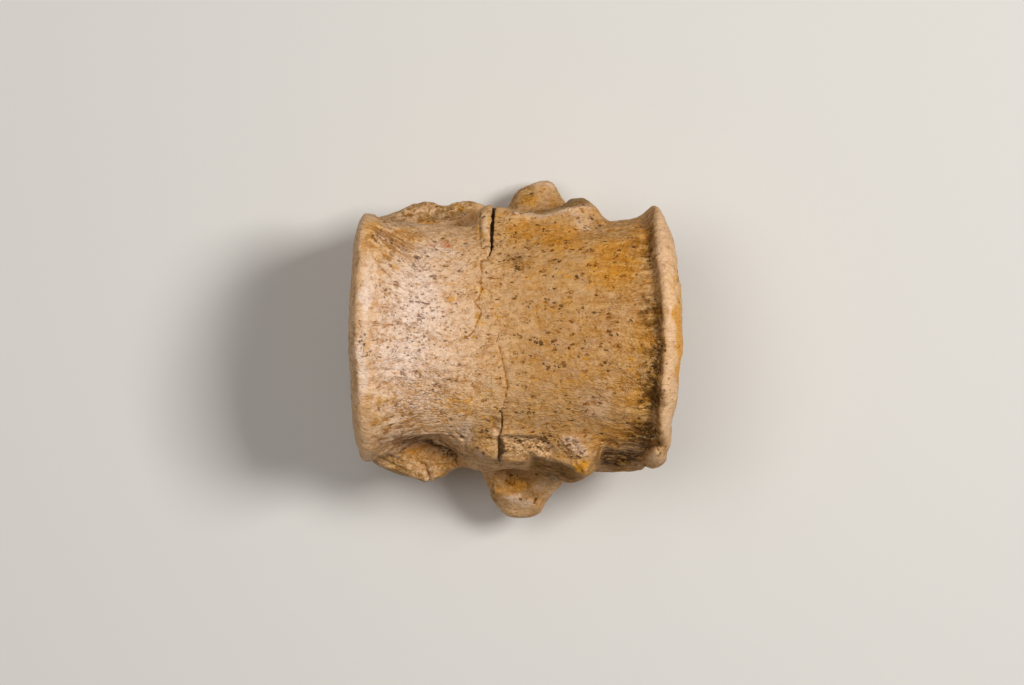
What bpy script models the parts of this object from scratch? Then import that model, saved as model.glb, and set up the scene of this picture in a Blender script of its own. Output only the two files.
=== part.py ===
"""A fossil vertebra of a small early reptile, life size, lying belly up on its broken neural arch.

The bone is one piece: a spool with a thick lip at each end, a thin sheet and a broken platform on each
flank, the stub of each transverse process, and the two broken walls of the neural arch with the open canal
between.
Metres, +Z up, the head end towards -X, the origin at the middle of the underside.
"""

import math

import bmesh
import bpy
from mathutils import Matrix, Vector, noise
from mathutils.bvhtree import BVHTree

MM = 0.001

# The bone's own frame, in millimetres: x runs from the head end to the tail end, u to the side that lies
# towards +Y, and v to the belly. The middle of the spool's waist is the origin.
# One station of the spool: x, then its half width, and its reach to the belly and to the back.
SPOOL = (
    (-13.0, 10.8, 10.7, 9.0),
    (-11.4, 10.35, 10.1, 8.8),
    (-8.8, 9.8, 9.4, 8.6),
    (-5.0, 9.6, 9.0, 8.5),
    (-0.5, 9.7, 8.9, 8.5),
    (4.5, 9.8, 9.1, 8.5),
    (8.5, 10.0, 9.6, 8.7),
    (11.0, 10.4, 10.15, 9.0),
    (12.1, 11.45, 11.4, 9.3),
)
SPOOL_STEPS = 4  # stations between two of these
RING_SIDES = 96
SECTION_POWER = 2.35  # of the rounded-square cross-section; 2 would be an ellipse

# The lip from each rim's ridge to the hollow in its end face: (share of the ridge's radius, distance
# past it).
FRONT_LIP = ((0.965, 0.22), (0.89, 0.47), (0.76, 0.77), (0.62, 0.75), (0.46, 0.1), (0.28, -0.8),
             (0.12, -1.2))
REAR_LIP = ((0.96, 0.45), (0.91, 0.85), (0.83, 1.2), (0.75, 1.4), (0.62, 1.2), (0.46, 0.5), (0.28, -0.5),
            (0.12, -0.9))
LIP_LEAN = 0.45  # how much less the lips draw in towards belly and back than towards the flanks
# How much further out the middle of each rim bulges than its sides.
FRONT_BOW = 0.35
REAR_BOW = 0.9
BOW_LENGTH = 4.0  # the stretch of the spool that bows with its rim

# A flange is a wedge on one flank. Its outer face leans between a brim, nearer the belly, and a foot:
# (x, reach of the brim, reach of the foot), each measured from the middle plane. Its inner face is hidden
# in the spool and stands higher than the brim by the rise.
FLANGES = {
    "front_sheet": {
        "plus": ((-13.3, 9.6, 10.6), (-12.6, 10.4, 11.0), (-10.0, 11.3, 11.6), (-9.2, 11.9, 12.1),
                 (-7.4, 12.3, 12.4), (-6.1, 11.7, 11.9), (-4.6, 12.3, 12.5), (-3.4, 12.3, 12.4),
                 (-2.0, 11.0, 12.0)),
        "minus": ((-13.2, 9.6, 10.0), (-11.8, 10.8, 11.0), (-10.0, 11.6, 11.8), (-8.3, 12.1, 12.2),
                  (-7.4, 12.5, 12.6), (-6.5, 11.7, 11.9), (-4.8, 10.8, 11.1), (-3.4, 10.2, 11.4)),
        "brim_level": -2.6,
        "foot_level": -4.4,
        "rise": 2.3,
    },
    "platform": {
        "plus": ((-3.2, 10.6, 11.6), (-2.5, 11.4, 11.7), (-0.4, 10.9, 11.5), (1.5, 10.7, 11.2),
                 (3.5, 10.9, 11.6), (4.9, 11.3, 12.7), (6.3, 11.6, 12.8), (7.1, 10.8, 11.5),
                 (8.2, 9.6, 10.1)),
        "minus": ((-4.8, 9.4, 11.0), (-3.0, 10.4, 11.7), (-0.4, 10.9, 11.6), (1.2, 11.0, 11.7),
                  (1.9, 10.3, 12.0), (3.1, 10.8, 12.2), (4.7, 11.4, 12.5), (5.4, 11.9, 12.6),
                  (6.4, 11.9, 12.2), (7.5, 10.2, 11.2)),
        "brim_level": 3.2,
        "foot_level": -3.6,
        "rise": 4.0,
    },
    "rear_flare": {
        "plus": ((5.6, 9.4, 10.4), (8.0, 9.4, 10.1), (11.0, 9.8, 10.3), (12.2, 9.9, 10.4)),
        "minus": ((6.4, 9.8, 11.4), (8.0, 9.9, 11.6), (11.0, 10.3, 11.4), (12.4, 10.3, 11.0)),
        "brim_level": 0.2,
        "foot_level": -5.6,
        "rise": 2.3,
    },
}
FLANGE_ROOT = 6.5  # how far out a flange's hidden inner face stands

# The hollow in each flank between the spool and the front sheet: its middle and its half axes.
FOSSA_MIDDLE = {1: (-7.9, 11.6, 1.2), -1: (-8.0, 11.4, 1.8)}
FOSSA_HALF = {1: (4.6, 2.0, 4.0), -1: (3.9, 3.0, 4.6)}

# The stub of a transverse process, as sections from root to tip: (reach, x, v, half length, half height).
STUBS = {
    1: ((7.0, 2.4, -5.6, 4.6, 3.2), (10.8, 2.2, -7.6, 3.6, 2.5), (13.0, 2.15, -9.0, 2.5, 2.1),
        (14.1, 2.05, -9.6, 1.9, 1.6), (14.6, 2.45, -9.8, 1.3, 1.2), (15.1, 2.85, -9.9, 0.6, 0.8)),
    -1: ((7.0, 1.8, -5.4, 5.6, 3.2), (11.0, 1.5, -7.7, 4.5, 2.6), (11.8, 1.05, -8.3, 3.6, 2.4),
         (12.9, 0.7, -9.0, 2.8, 2.1), (13.7, 0.45, -9.4, 2.35, 1.9), (14.65, 0.6, -9.9, 1.8, 1.3),
         (15.1, 0.5, -10.0, 1.1, 0.9)),
}
STUB_SIDES = 20
# The shallow facet on the belly side of the stub towards -Y.
FACET_MIDDLE = (0.1, -12.5, -4.5)
FACET_RADIUS = 2.6

# The small knob at the rear rim's corner towards -Y: its middle and its half axes.
KNOB_MIDDLE = (11.9, -10.5, -1.2)
KNOB_HALF = (1.2, 1.0, 1.3)

# The two walls of the neural arch, as sections downwards: (v, x, half length, middle, half thickness).
WALL = (
    (-3.5, -1.2, 10.6, 5.8, 4.0),
    (-7.5, -1.6, 8.8, 5.9, 2.8),
    (-10.0, -1.6, 8.0, 5.8, 2.3),
    (-13.0, -1.0, 9.0, 5.8, 2.2),
    (-17.5, -0.6, 10.4, 5.9, 2.4),
)
WALL_POWER = 3.0
WALL_SIDES = 32

# The neural canal, an open trough along the underside.
CANAL_HALF_WIDTH = 3.1
CANAL_ROOF = -8.3
CANAL_CORNER = 2.0
CANAL_LENGTH = 40.0

# Two open cracks run from the flanks up to the belly, as narrow notches. Each is given along its lowest
# edge from the flank inwards, as the bone lies: (x, y, depth, half width).
CRACKS = (
    ((-1.75, 11.4, 1.3, 0.24), (-1.8, 11.0, 1.1, 0.24), (-1.86, 9.8, 0.9, 0.2), (-1.97, 7.9, 0.7, 0.17),
     (-2.18, 7.0, 0.35, 0.12), (-2.31, 6.6, -0.1, 0.08)),
    ((-1.17, -10.9, 1.8, 0.3), (-1.27, -10.4, 1.4, 0.3), (-1.27, -9.5, 1.0, 0.26), (-1.15, -8.1, 0.75, 0.15),
     (-1.04, -6.6, 0.5, 0.1), (-1.0, -6.1, -0.1, 0.07)),
)
CRACK_POINT = 0.5  # how far above its lowest edge a notch has its full width
OVERRUN = 1.5  # how far past the flank a notch goes on
ABOVE_ALL = 27.0

# A thin layer has snapped off the platform towards -Y. Its edge is a line of (x, y), as the bone lies, and
# its floor falls away from that edge to past the platform.
LAYER_EDGE = ((-1.0, -8.45), (1.4, -8.55), (2.7, -8.9), (3.5, -9.7))
LAYER_END = -10.9
LAYER_DEPTH = 0.3
LAYER_FALL = 0.75

# How the bone lies: the belly leans towards +Y, and the broken walls stand on the floor.
ROLL = math.radians(5.9)
WAIST_HEIGHT = 14.2
BREAK_RELIEF = 1.4
BREAK_CELL = 1.2
BREAK_LUMP = 2.6  # the size of the lumps on the broken walls
BREAK_SLICE = 8.4  # which slice of the noise they come from
LEVEL_SHARE = 0.25  # more of this leaves more of the break level with the floor
BREAK_SIZE = (36.0, 36.0)

# The skin: voxels join the pieces, a soft unevenness takes the flatness off their faces, and a few rounds
# of smoothing turn the joins into fillets.
VOXEL = 0.26
UNEVEN_DEPTH = 0.45
UNEVEN_SIZE = 2.6
SMOOTH_ROUNDS = 7
KEPT_SHARE = 0.078


def spool_at(x):
    """The spool's half width and its reach to the belly and to the back at x, on a smooth curve."""
    i = max(k for k in range(len(SPOOL) - 1) if SPOOL[k][0] <= x)
    near, far = SPOOL[i], SPOOL[i + 1]
    before, after = SPOOL[max(i - 1, 0)], SPOOL[min(i + 2, len(SPOOL) - 1)]
    span = far[0] - near[0]
    t = (x - near[0]) / span
    sizes = []
    for k in (1, 2, 3):
        slope_near = (far[k] - before[k]) / (far[0] - before[0]) * span
        slope_far = (after[k] - near[k]) / (after[0] - near[0]) * span
        rise = far[k] - near[k]
        curve = (slope_near + slope_far - 2 * rise) * t + 3 * rise - 2 * slope_near - slope_far
        sizes.append(near[k] + slope_near * t + curve * t * t)
    return sizes


def rounded_section(half_u, half_up, half_down, sides, power):
    """A ring of (u, v) points, rounder than a rectangle and squarer than an ellipse."""
    points = []
    for i in range(sides):
        c, s = math.cos(math.tau * i / sides), math.sin(math.tau * i / sides)
        half_v = half_up if s > 0 else half_down
        size = (abs(c / half_u) ** power + abs(s / half_v) ** power) ** (-1 / power)
        points.append((c * size, s * size))
    return points


def loft(rings):
    """One closed skin through rings of equal length: a first face, extruded from each ring to the next."""
    bm = bmesh.new()
    face = bm.faces.new([bm.verts.new(p) for p in rings[0]])
    for ring in rings[1:]:
        face = bmesh.ops.extrude_discrete_faces(bm, faces=[face])["faces"][0]
        for vert, place in zip(face.verts, ring):
            vert.co = place
    bmesh.ops.holes_fill(bm, edges=[e for e in bm.edges if e.is_boundary])
    bmesh.ops.recalc_face_normals(bm, faces=bm.faces[:])
    return bm


def bowed(x, u, half_width):
    """The x of a spool point, pushed out where it is near the middle of a rim."""
    middle = 1 - min(abs(u) / half_width, 1.0) ** 2
    front = min(max((SPOOL[0][0] + BOW_LENGTH - x) / BOW_LENGTH, 0.0), 1.0) ** 2
    rear = min(max((x - SPOOL[-1][0] + BOW_LENGTH) / BOW_LENGTH, 0.0), 1.0) ** 2
    return x - FRONT_BOW * front * middle + REAR_BOW * rear * middle


def spool():
    xs = []
    for near, far in zip(SPOOL, SPOOL[1:]):
        xs += [near[0] + (far[0] - near[0]) * k / SPOOL_STEPS for k in range(SPOOL_STEPS)]
    rings = []
    for x in xs + [SPOOL[-1][0]]:
        half, belly, back = spool_at(min(x, SPOOL[-1][0] - 1e-6))
        section = rounded_section(half, belly, back, RING_SIDES, SECTION_POWER)
        rings.append([Vector((bowed(x, u, half), u, v)) for u, v in section])
    front = lip_rings(rings[0], FRONT_LIP, -1)
    rear = lip_rings(rings[-1], REAR_LIP, 1)
    return loft(front[::-1] + rings + rear)


def lip_rings(ridge, lip, outwards):
    """The rings from a ridge to near the middle of its end face, each a smaller copy of the ridge."""
    rings = []
    for share, past in lip:
        tall_share = share + LIP_LEAN * share * (1 - share)
        rings.append([Vector((p.x + outwards * past, p.y * share, p.z * tall_share)) for p in ridge])
    return rings


def flange(shape, side, sign):
    brim, foot = shape["brim_level"], shape["foot_level"]
    rings = []
    for x, brim_reach, foot_reach in shape[side]:
        section = (
            (FLANGE_ROOT, brim + shape["rise"]),
            (brim_reach, brim),
            (foot_reach, foot),
            (FLANGE_ROOT, foot - 1.0),
        )
        rings.append([Vector((x, sign * u, v)) for u, v in section])
    return loft(rings)


def stub(sign):
    rings = []
    for reach, x, v, half_x, half_v in STUBS[sign]:
        section = rounded_section(half_x, half_v, half_v, STUB_SIDES, 3.0)
        rings.append([Vector((x + dx, sign * reach, v + dv)) for dx, dv in section])
    return loft(rings)


def wall(sign):
    rings = []
    for v, x, half_x, middle, half_u in WALL:
        section = rounded_section(half_x, half_u, half_u, WALL_SIDES, WALL_POWER)
        rings.append([Vector((x + dx, sign * middle + du, v)) for dx, du in section])
    return loft(rings)


def ball(middle, half):
    bm = bmesh.new()
    bmesh.ops.create_icosphere(bm, subdivisions=3, radius=1.0)
    bmesh.ops.scale(bm, vec=half, verts=bm.verts)
    bmesh.ops.translate(bm, vec=middle, verts=bm.verts)
    return bm


def canal():
    """A long block with its two upper edges rounded."""
    bm = bmesh.new()
    depth = 2 * WAIST_HEIGHT
    bmesh.ops.create_cube(bm, size=1.0)
    bmesh.ops.scale(bm, vec=(CANAL_LENGTH, 2 * CANAL_HALF_WIDTH, depth), verts=bm.verts)
    bmesh.ops.translate(bm, vec=(0, 0, CANAL_ROOF - depth / 2), verts=bm.verts)
    roof = [e for e in bm.edges if all(v.co.z > CANAL_ROOF - 0.001 for v in e.verts)]
    along = [e for e in roof if e.calc_length() > CANAL_LENGTH / 2]
    bmesh.ops.bevel(
        bm, geom=along, offset=CANAL_CORNER, segments=6, profile=0.5, affect="EDGES", material=-1
    )
    return bm


def height_finder(bone):
    """A function that finds how high the bone's upper side stands at (x, y)."""
    corners = [v.co for v in bone.data.vertices]
    tree = BVHTree.FromPolygons(corners, [p.vertices for p in bone.data.polygons])

    def height_at(x, y):
        hit = tree.ray_cast(Vector((x, y, ABOVE_ALL)) * MM, Vector((0, 0, -1)))[0]
        return hit.z / MM

    return height_at


def crack(edge, height_at):
    """A narrow upright blade with a pointed lower edge, which stands at a depth under the skin."""
    rings = []
    for x, y, depth, half in edge:
        low = height_at(x, y) - depth
        section = ((0, low), (half, low + CRACK_POINT), (half, ABOVE_ALL), (-half, ABOVE_ALL),
                   (-half, low + CRACK_POINT))
        rings.append([Vector((x + dx, y, z)) for dx, z in section])
    outwards = Vector((0, math.copysign(OVERRUN, edge[0][1]), 0))
    return loft([[point + outwards for point in rings[0]]] + rings)


def layer(height_at):
    """What stood above the floor of the broken layer."""
    rings = []
    for x, y in LAYER_EDGE:
        floor = height_at(x, y) - LAYER_DEPTH
        end = floor - LAYER_FALL * (y - LAYER_END)
        section = ((y, floor), (LAYER_END, end), (LAYER_END, ABOVE_ALL), (y, ABOVE_ALL))
        rings.append([Vector((x, across, z)) for across, z in section])
    return loft(rings)


def floor_break():
    """A block under the bone, its top rough except where it is level with the floor."""
    bm = bmesh.new()
    cells = [round(size / BREAK_CELL) for size in BREAK_SIZE]
    bmesh.ops.create_grid(bm, x_segments=cells[0], y_segments=cells[1], size=0.5)
    bmesh.ops.scale(bm, vec=(*BREAK_SIZE, 1), verts=bm.verts)
    top = bm.verts[:]
    sunk = bmesh.ops.extrude_face_region(bm, geom=bm.faces[:], use_keep_orig=True)["geom"]
    depth = (0, 0, -2 * WAIST_HEIGHT)
    bmesh.ops.translate(bm, vec=depth, verts=[g for g in sunk if isinstance(g, bmesh.types.BMVert)])
    for vert in top:
        place = Vector((vert.co.x, vert.co.y, BREAK_SLICE)) / BREAK_LUMP
        rough = noise.fractal(place, 1.0, 2.0, 3)
        vert.co.z = BREAK_RELIEF * min(max(2 * rough - LEVEL_SHARE, 0.0), 1.0)
    bmesh.ops.recalc_face_normals(bm, faces=bm.faces[:])
    return bm


def add_object(name, bm, laid_down=True):
    """Makes an object of a mesh in millimetres, in metres and, for the bone's pieces, as the bone lies."""
    if laid_down:
        lift = Matrix.Translation((0, 0, WAIST_HEIGHT))
        bm.transform(lift @ Matrix.Rotation(-ROLL, 4, "X"))
    bm.transform(Matrix.Scale(MM, 4))
    mesh = bpy.data.meshes.new(name)
    bm.to_mesh(mesh)
    bm.free()
    made = bpy.data.objects.new(name, mesh)
    bpy.context.scene.collection.objects.link(made)
    return made


def apply_modifiers(target):
    graph = bpy.context.evaluated_depsgraph_get()
    mesh = bpy.data.meshes.new_from_object(target.evaluated_get(graph))
    target.modifiers.clear()
    target.data = mesh


def combine(target, pieces, operation):
    """Joins pieces to the target, or cuts them out of it, with one Boolean, and removes them."""
    group = bpy.data.collections.new(operation.lower())
    bpy.context.scene.collection.children.link(group)
    for piece in pieces:
        bpy.context.scene.collection.objects.unlink(piece)
        group.objects.link(piece)
        piece.hide_render = True
        piece.display_type = "WIRE"
    modifier = target.modifiers.new(operation.lower(), "BOOLEAN")
    modifier.operation = operation
    modifier.operand_type = "COLLECTION"
    modifier.collection = group
    apply_modifiers(target)
    for piece in pieces:
        bpy.data.objects.remove(piece)
    bpy.data.collections.remove(group)


def skin(bone):
    """One even skin over the joined pieces, with fillets, thinned to a light mesh."""
    remesh = bone.modifiers.new("skin", "REMESH")
    remesh.mode = "VOXEL"
    remesh.voxel_size = VOXEL * MM
    clouds = bpy.data.textures.new("uneven", "CLOUDS")
    clouds.noise_scale = UNEVEN_SIZE * MM
    uneven = bone.modifiers.new("uneven", "DISPLACE")
    uneven.texture = clouds
    uneven.strength = UNEVEN_DEPTH * MM
    fillets = bone.modifiers.new("fillets", "SMOOTH")
    fillets.factor = 0.5
    fillets.iterations = SMOOTH_ROUNDS
    lighter = bone.modifiers.new("lighter", "DECIMATE")
    lighter.ratio = KEPT_SHARE
    apply_modifiers(bone)


def settle(bone):
    """Puts the origin at the middle of the underside."""
    places = [v.co for v in bone.data.vertices]
    low = [min(p[i] for p in places) for i in range(3)]
    high = [max(p[i] for p in places) for i in range(3)]
    bone.data.transform(Matrix.Translation((-(low[0] + high[0]) / 2, -(low[1] + high[1]) / 2, -low[2])))


def fossil_bone():
    material = bpy.data.materials.new("fossil_bone")
    material.use_nodes = True
    shader = material.node_tree.nodes["Principled BSDF"]
    shader.inputs["Base Color"].default_value = (0.56, 0.37, 0.2, 1)
    shader.inputs["Roughness"].default_value = 0.55
    shader.inputs["Metallic"].default_value = 0.0
    return material


def main():
    for obj in list(bpy.data.objects):
        bpy.data.objects.remove(obj)
    bone = add_object("vertebra", spool())
    pieces = []
    for sign, side in ((1, "plus"), (-1, "minus")):
        for name, shape in FLANGES.items():
            pieces.append(add_object(f"{name}_{side}", flange(shape, side, sign)))
        pieces.append(add_object(f"stub_{side}", stub(sign)))
        pieces.append(add_object(f"wall_{side}", wall(sign)))
    pieces.append(add_object("knob", ball(KNOB_MIDDLE, KNOB_HALF)))
    combine(bone, pieces, "UNION")
    cutters = [add_object("canal", canal())]
    for sign in (1, -1):
        x, u, v = FOSSA_MIDDLE[sign]
        cutters.append(add_object("fossa", ball((x, sign * u, v), FOSSA_HALF[sign])))
    cutters.append(add_object("facet", ball(FACET_MIDDLE, (FACET_RADIUS,) * 3)))
    combine(bone, cutters, "DIFFERENCE")
    skin(bone)
    height_at = height_finder(bone)
    breaks = [floor_break(), layer(height_at)] + [crack(edge, height_at) for edge in CRACKS]
    combine(bone, [add_object("break", shape, laid_down=False) for shape in breaks], "DIFFERENCE")
    settle(bone)
    bone.data.materials.clear()
    bone.data.materials.append(fossil_bone())
    bone.data.shade_smooth()


main()
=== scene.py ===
# %% [markdown]
# # A fossil vertebra, belly side up
#
# The object is one bone of the back of a small early reptile, about 29 mm long. It is stained cream,
# ochre and brown by the ground it lay in. The camera looks straight down on its belly side. The broken
# neural arch is underneath and carries it.
#
# The plan has four steps. First come the camera and the light. Then the plain solid of the bone is given
# a fine even skin. Then that skin is carved by moving its vertices: rims, ledges, cracks, grain and
# pores. Last comes one material that reads the same carving, so stains sit where the relief is.

# %% Load the packed model
import itertools
import math

import bmesh
import bpy
import numpy as np
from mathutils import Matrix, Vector


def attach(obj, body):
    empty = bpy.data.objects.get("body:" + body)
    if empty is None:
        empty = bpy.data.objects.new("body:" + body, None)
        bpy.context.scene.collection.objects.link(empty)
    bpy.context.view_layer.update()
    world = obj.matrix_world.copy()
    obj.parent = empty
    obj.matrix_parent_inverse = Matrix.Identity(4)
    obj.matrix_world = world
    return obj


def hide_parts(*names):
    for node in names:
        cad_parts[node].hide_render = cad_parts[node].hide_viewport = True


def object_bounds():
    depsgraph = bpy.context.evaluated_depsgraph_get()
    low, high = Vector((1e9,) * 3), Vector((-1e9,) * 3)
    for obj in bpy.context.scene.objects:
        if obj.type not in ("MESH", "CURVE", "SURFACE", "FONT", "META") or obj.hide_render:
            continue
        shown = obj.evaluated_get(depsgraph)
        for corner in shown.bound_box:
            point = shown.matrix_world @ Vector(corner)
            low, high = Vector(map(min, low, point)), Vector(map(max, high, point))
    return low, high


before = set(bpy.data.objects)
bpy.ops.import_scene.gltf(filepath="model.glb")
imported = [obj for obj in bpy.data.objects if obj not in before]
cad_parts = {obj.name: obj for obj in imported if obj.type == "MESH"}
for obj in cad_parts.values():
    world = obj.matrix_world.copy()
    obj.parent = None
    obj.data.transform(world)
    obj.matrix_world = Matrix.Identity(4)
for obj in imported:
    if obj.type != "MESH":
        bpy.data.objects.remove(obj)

MM = 0.001
cad_low, cad_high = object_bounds()
print("solid, mm:", [round((b - a) / MM, 1) for a, b in zip(cad_low, cad_high)])

# %% [markdown]
# ## The camera
#
# A close-up of a small bone is taken from some way off with a long lens, so that the far parts aren't
# much smaller than the near ones. An orthographic camera would be simpler, but it loses the little bit of
# perspective that shows the flanks. Here the camera hangs 400 mm above the middle of the bone. The width
# of the view at that distance fixes the lens.

# %% Camera straight above
VIEW_WIDTH = 89.09
CAMERA_RISE = 400.0
SPOOL_Y, SPOOL_Z = 0.97, 14.2  # the middle line of the bone's spool
CAMERA_X, CAMERA_Y = -0.3, 0.57
SENSOR = 36.0

lens = bpy.data.cameras.new("camera")
lens.sensor_width = SENSOR
lens.lens = SENSOR * CAMERA_RISE / VIEW_WIDTH
lens.clip_start = 0.01
camera = bpy.data.objects.new("camera", lens)
camera.location = Vector((CAMERA_X, CAMERA_Y, SPOOL_Z + CAMERA_RISE)) * MM
bpy.context.scene.collection.objects.link(camera)
bpy.context.scene.camera = camera
print("lens, mm:", round(lens.lens, 1))

# %% [markdown]
# ## Light and floor
#
# In a museum photograph one soft lamp stands to one side and a weaker one fills the shadows. A sun lamp
# would be quicker to set, but its shadows have hard edges. Here the main lamp hangs high on the right of
# the picture, and a little towards its top. It shines at a slant, so every rise and pit has a lit side
# and a shaded one. A wide lamp high on the left keeps the shadows open, and a faint warm sky lights what
# neither reaches. The floor is a plain pale sheet.

# %% Lamps and a warm sky
def add_lamp(name, place, size, watts, colour):
    """A square soft lamp that faces the middle of the bone."""
    light = bpy.data.lights.new(name, "AREA")
    light.size = size * MM
    light.energy = watts
    light.color = colour
    lamp = bpy.data.objects.new(name, light)
    lamp.location = Vector(place) * MM
    towards = Vector((0, 0, SPOOL_Z)) - Vector(place)
    lamp.rotation_euler = towards.to_track_quat("-Z", "Y").to_euler()
    bpy.context.scene.collection.objects.link(lamp)
    return lamp


WARM_WHITE, SOFT_WHITE, WARM_SKY = (1.0, 0.97, 0.92), (1.0, 0.97, 0.93), (1.0, 0.96, 0.9, 1)
add_lamp("main_lamp", place=(190, 60, 340), size=110, watts=1.08, colour=WARM_WHITE)
add_lamp("overhead_lamp", place=(-110, 60, 460), size=220, watts=0.66, colour=SOFT_WHITE)

world = bpy.data.worlds.new("studio")
world.use_nodes = True
sky = world.node_tree.nodes["Background"]
sky.inputs["Color"].default_value = WARM_SKY
sky.inputs["Strength"].default_value = 0.08
bpy.context.scene.world = world
bpy.context.scene.view_settings.view_transform = "Standard"

# %% A pale sheet of paper as floor
FLOOR_HALF = 2.0  # metres
PAPER_COLOUR = (0.74, 0.73, 0.71, 1)
bm = bmesh.new()
bmesh.ops.create_grid(bm, x_segments=1, y_segments=1, size=FLOOR_HALF)
floor_mesh = bpy.data.meshes.new("floor")
bm.to_mesh(floor_mesh)
bm.free()
floor = bpy.data.objects.new("floor", floor_mesh)
bpy.context.scene.collection.objects.link(floor)
paper = bpy.data.materials.new("paper")
paper.use_nodes = True
paper_shader = paper.node_tree.nodes["Principled BSDF"]
paper_shader.inputs["Base Color"].default_value = PAPER_COLOUR
paper_shader.inputs["Roughness"].default_value = 0.8
floor_mesh.materials.append(paper)
print("floor, m:", round(floor.dimensions.x, 1))

# %% [markdown]
# ## A fine skin over the plain solid
#
# The solid has about ten thousand triangles of uneven size, which is too coarse to carve. A displacement
# texture would need an even mesh as well. So its copy is merged, rounded by a subdivision surface and
# remeshed with small voxels, which gives an even net of little squares. A few rounds of smoothing take
# out the last flat facets.

# %% Copy, round and remesh
VOXEL = 0.15
SMOOTH_ROUNDS = 12


def applied(target):
    """Replaces an object's mesh with what its modifiers make of it."""
    graph = bpy.context.evaluated_depsgraph_get()
    made = bpy.data.meshes.new_from_object(target.evaluated_get(graph))
    target.modifiers.clear()
    target.data = made


bone = bpy.data.objects["vertebra"].copy()
bone.name = "bone"
bone.data = bpy.data.objects["vertebra"].data.copy()
bone.data.materials.clear()
bpy.context.scene.collection.objects.link(bone)

bm = bmesh.new()
bm.from_mesh(bone.data)
bmesh.ops.remove_doubles(bm, verts=bm.verts, dist=0.0005 * MM)
bm.to_mesh(bone.data)
bm.free()

rounder = bone.modifiers.new("rounder", "SUBSURF")
rounder.levels = rounder.render_levels = 1
skin = bone.modifiers.new("skin", "REMESH")
skin.mode = "VOXEL"
skin.voxel_size = VOXEL * MM
soft = bone.modifiers.new("soft", "SMOOTH")
soft.factor = 0.5
soft.iterations = SMOOTH_ROUNDS
applied(bone)
print("skin faces:", len(bone.data.polygons))

# %% [markdown]
# ## Ways to measure on the bone
#
# Carving needs three sets of coordinates. The first is the plain place in millimetres. The second is the
# bone's own: along the spool and round it, which is how the fibres of the bone run. The third is the
# place as the camera sees it, since cracks and ledges are best laid out in the picture's plane.
#
# The angle round the spool jumps by a full turn somewhere. Under the flanks it is folded back, so that
# both sides meet below with the same value and no seam shows.

# %% Coordinates of every vertex
ROLL = math.radians(5.9)
TURN_RADIUS = 10.0
FOLD = 2.2  # past this angle from the belly, in radians, the angle runs back to 0
box_low, box_high = np.array(cad_low) / MM, np.array(cad_high) / MM


def read_vertices(what):
    values = np.zeros(len(bone.data.vertices) * 3)
    bone.data.vertices.foreach_get(what, values)
    return values.reshape(-1, 3)


def ease(low, high, value):
    """0 below low, 1 above high, and smooth between."""
    s = np.clip((value - low) / (high - low), 0, 1)
    return s * s * (3 - 2 * s)


place = read_vertices("co") / MM
normal = read_vertices("normal")
x = place[:, 0].copy()
across, up = place[:, 1] - SPOOL_Y, place[:, 2] - SPOOL_Z
u = across * math.cos(ROLL) - up * math.sin(ROLL)
v = across * math.sin(ROLL) + up * math.cos(ROLL)
radius = np.hypot(u, v)
turn = np.arctan2(u, v)
folded_back = np.sign(turn) * FOLD * (math.pi - np.abs(turn)) / (math.pi - FOLD)
folded = np.where(np.abs(turn) < FOLD, turn, folded_back)
grain = np.stack([x, folded * TURN_RADIUS, radius], axis=1)
nearness = CAMERA_RISE / (CAMERA_RISE - up)
seen_x = CAMERA_X + (x - CAMERA_X) * nearness
seen_y = CAMERA_Y + (place[:, 1] - CAMERA_Y) * nearness
seen = np.stack([seen_x, seen_y], axis=1)
upward = ease(0.0, 0.35, normal[:, 2])
belly = ease(-4.5, -2.5, v)
print("vertices:", len(place), "of them facing up:", int((upward > 0.5).sum()))

# %% [markdown]
# ## Noise, strokes and spots
#
# A few small helpers do all the carving. Noise is a lattice of random numbers with smooth values between.
# Cells are scattered points and the distance to the nearest. A stroke is the distance to a line through a
# few points. A spot is a soft ellipse. Each gives one number for every vertex, so the whole bone is
# carved at once with array sums. Sculpting by hand would give the same forms, but not the same result at
# each run.

# %% Noise and cells
LATTICE = 64


def noise(points, size, seed):
    """Smooth random values from -1 to 1. The size of the lumps, in mm, is one number or one for each axis."""
    table = np.random.default_rng(seed).uniform(-1, 1, (LATTICE,) * 3)
    scaled = points / np.asarray(size)
    cell = np.floor(scaled).astype(int)
    part = scaled - cell
    part = part * part * (3 - 2 * part)
    total = np.zeros(len(points))
    for corner in itertools.product((0, 1), repeat=3):
        share = np.prod([part[:, k] if corner[k] else 1 - part[:, k] for k in range(3)], axis=0)
        i, j, k = ((cell[:, a] + corner[a]) % LATTICE for a in range(3))
        total += share * table[i, j, k]
    return total


def rough(points, size, seed, layers=3):
    """A few layers of noise, each half the size and half the height of the last."""
    return sum(noise(points, np.asarray(size) / 2**k, seed + k) / 2**k for k in range(layers))


def cells(points, size, seed):
    """The distance to the nearest of many scattered points, in cells, and a random number for that point."""
    tables = np.random.default_rng(seed).uniform(0, 1, (4, LATTICE, LATTICE, LATTICE))
    scaled = points / np.asarray(size)
    home = np.floor(scaled).astype(int)
    nearest = np.full(len(points), 9.0)
    mark = np.zeros(len(points))
    for step in itertools.product((-1, 0, 1), repeat=3):
        cell = home + np.array(step)
        i, j, k = (cell[:, a] % LATTICE for a in range(3))
        middle = cell + tables[:3, i, j, k].T
        distance = np.linalg.norm(scaled - middle, axis=1)
        closer = distance < nearest
        nearest = np.where(closer, distance, nearest)
        mark = np.where(closer, tables[3, i, j, k], mark)
    return nearest, mark


print("random numbers in a table:", LATTICE**3)


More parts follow.
